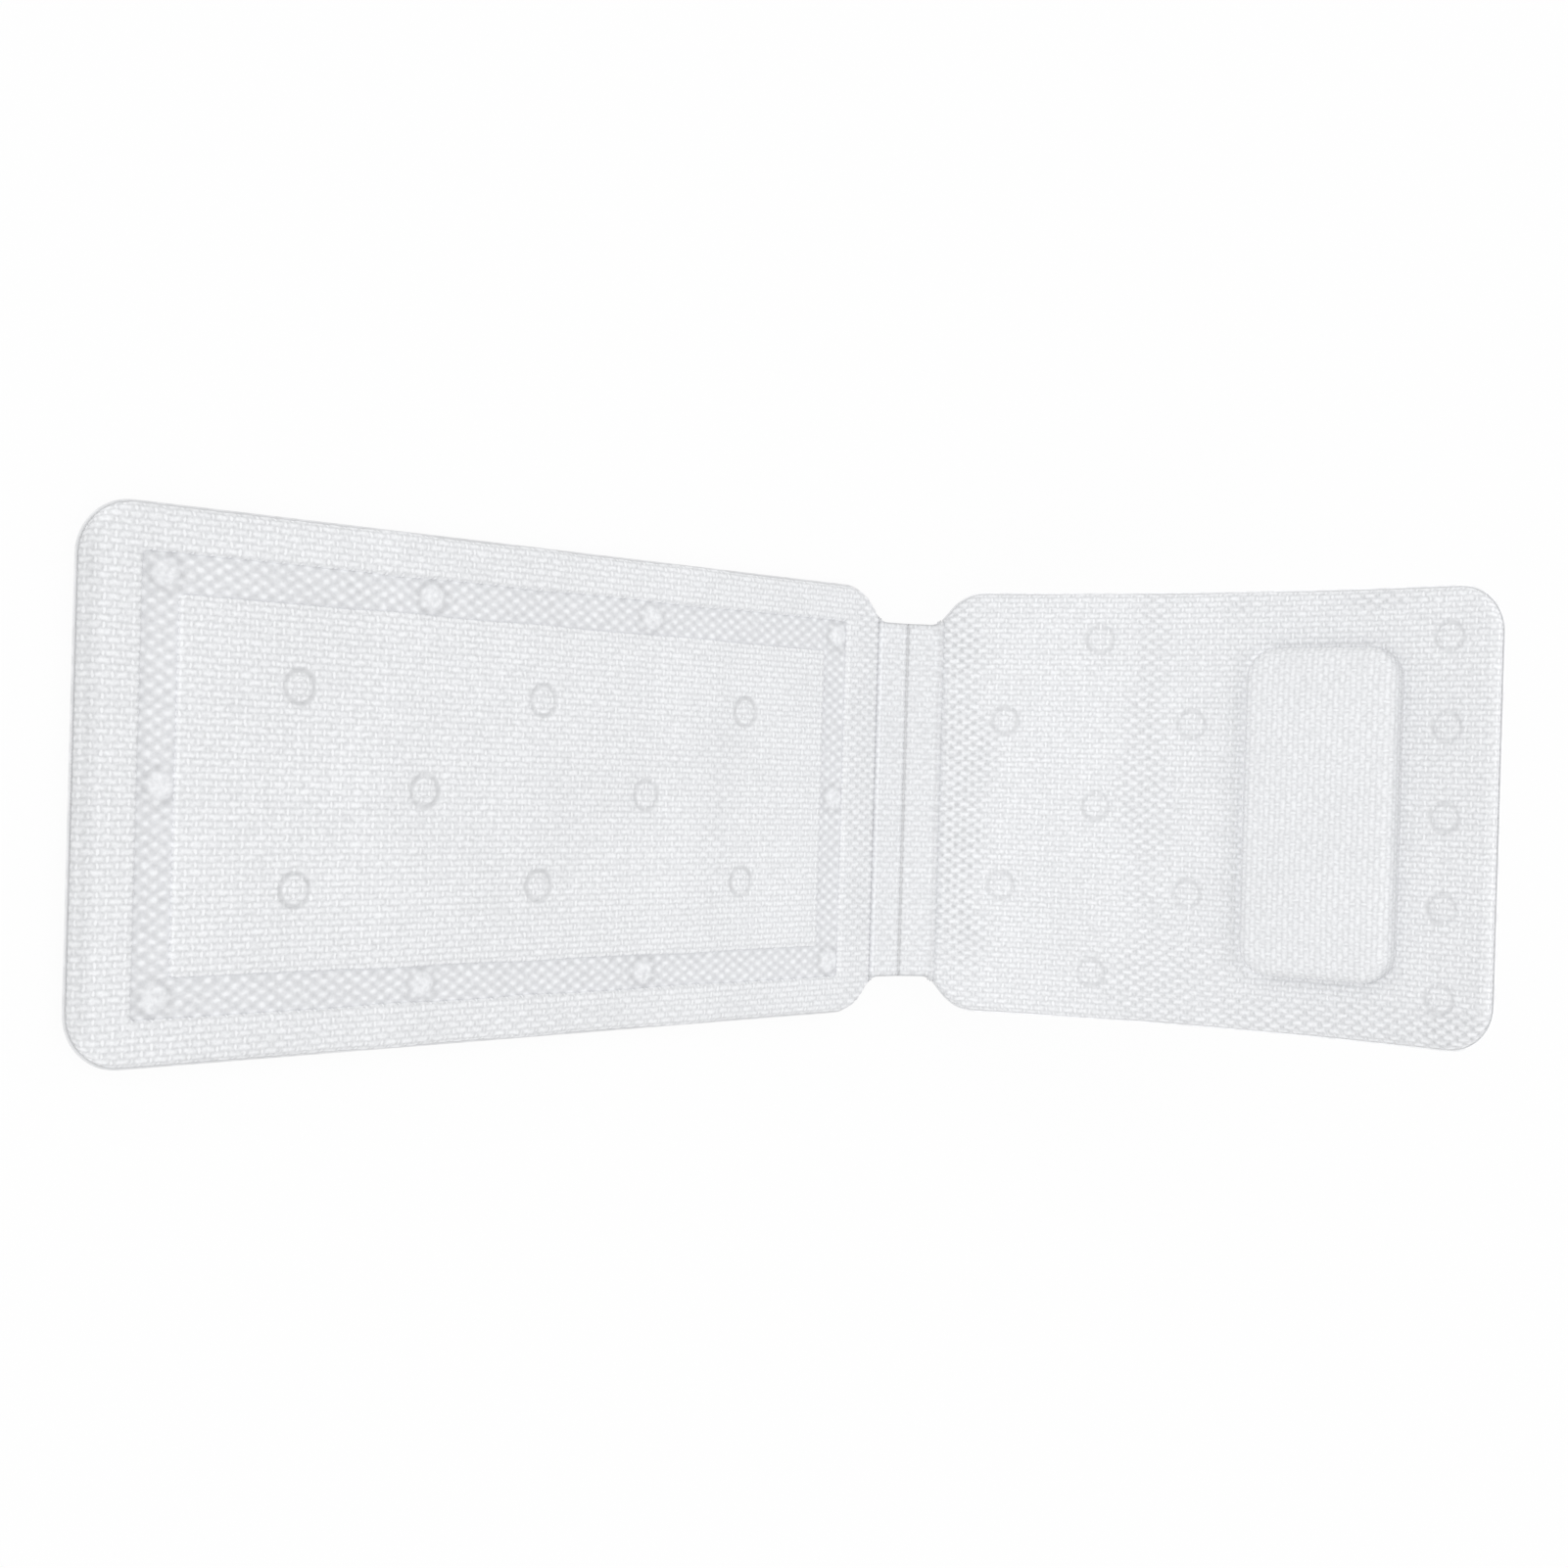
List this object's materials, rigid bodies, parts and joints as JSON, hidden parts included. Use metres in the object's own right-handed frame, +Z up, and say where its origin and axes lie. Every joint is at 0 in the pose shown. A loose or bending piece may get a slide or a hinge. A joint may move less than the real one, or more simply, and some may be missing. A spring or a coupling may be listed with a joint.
{
  "type": "full-body bath mat",
  "caption": "Long padded bath mat with a welded seat panel, a narrow folding neck and a curved back panel with a raised head pillow, held by suction cups.",
  "frame": {"origin": "under the middle of the bounding box, on the surface that the suction cups stand on", "axes": "+X from the foot end to the head end, +Y across the mat, +Z up"},
  "size_m": [0.925, 0.36, 0.4797],
  "materials": {
    "cover": "matte woven-look foamed sheet",
    "pillow_cover": "matte, finer weave",
    "neck": "matte, pressed weave",
    "base": "soft satin sheet",
    "foam": "open foam",
    "cup": "soft translucent"
  },
  "bodies": {
    "seat": {"seat_cover": "cover", "seat_base_sheet": "base", "seat_centre_foam": "foam", "seat_border_foam": "foam", "seat_cup_01": "cup", "seat_cup_02": "cup", "seat_cup_03": "cup", "seat_cup_04": "cup", "seat_cup_05": "cup", "seat_cup_06": "cup", "seat_cup_07": "cup", "seat_cup_08": "cup", "seat_cup_09": "cup", "seat_cup_10": "cup", "seat_cup_11": "cup", "seat_cup_12": "cup", "seat_cup_13": "cup", "seat_cup_14": "cup", "seat_cup_15": "cup", "seat_cup_16": "cup", "seat_cup_17": "cup", "seat_cup_18": "cup"},
    "seat_side_strip": {"neck_strip_seat": "neck"},
    "back_side_strip": {"neck_strip_back": "neck"},
    "back": {"back_cover": "cover", "back_base_sheet": "base", "back_foam": "foam", "pillow_cover": "pillow_cover", "pillow_foam": "foam", "back_cup_01": "cup", "back_cup_02": "cup", "back_cup_03": "cup", "back_cup_04": "cup", "back_cup_05": "cup", "back_cup_06": "cup", "back_cup_07": "cup", "back_cup_08": "cup", "back_cup_09": "cup", "back_cup_10": "cup", "back_cup_11": "cup", "back_cup_12": "cup"}
  },
  "joints": [
    {"name": "seat_fold", "type": "hinge", "parent": "seat", "child": "seat_side_strip", "pos_m": [0.25353, 0, 0.01205], "axis": [0, -1, 0], "range_deg": [-14, 36]},
    {"name": "middle_fold", "type": "hinge", "parent": "seat_side_strip", "child": "back_side_strip", "pos_m": [0.28264, 0, 0.01931], "axis": [0, -1, 0], "range_deg": [-20, 30]},
    {"name": "back_fold", "type": "hinge", "parent": "back_side_strip", "child": "back", "pos_m": [0.30751, 0, 0.03608], "axis": [0, -1, 0], "range_deg": [-20, 30]}
  ]
}
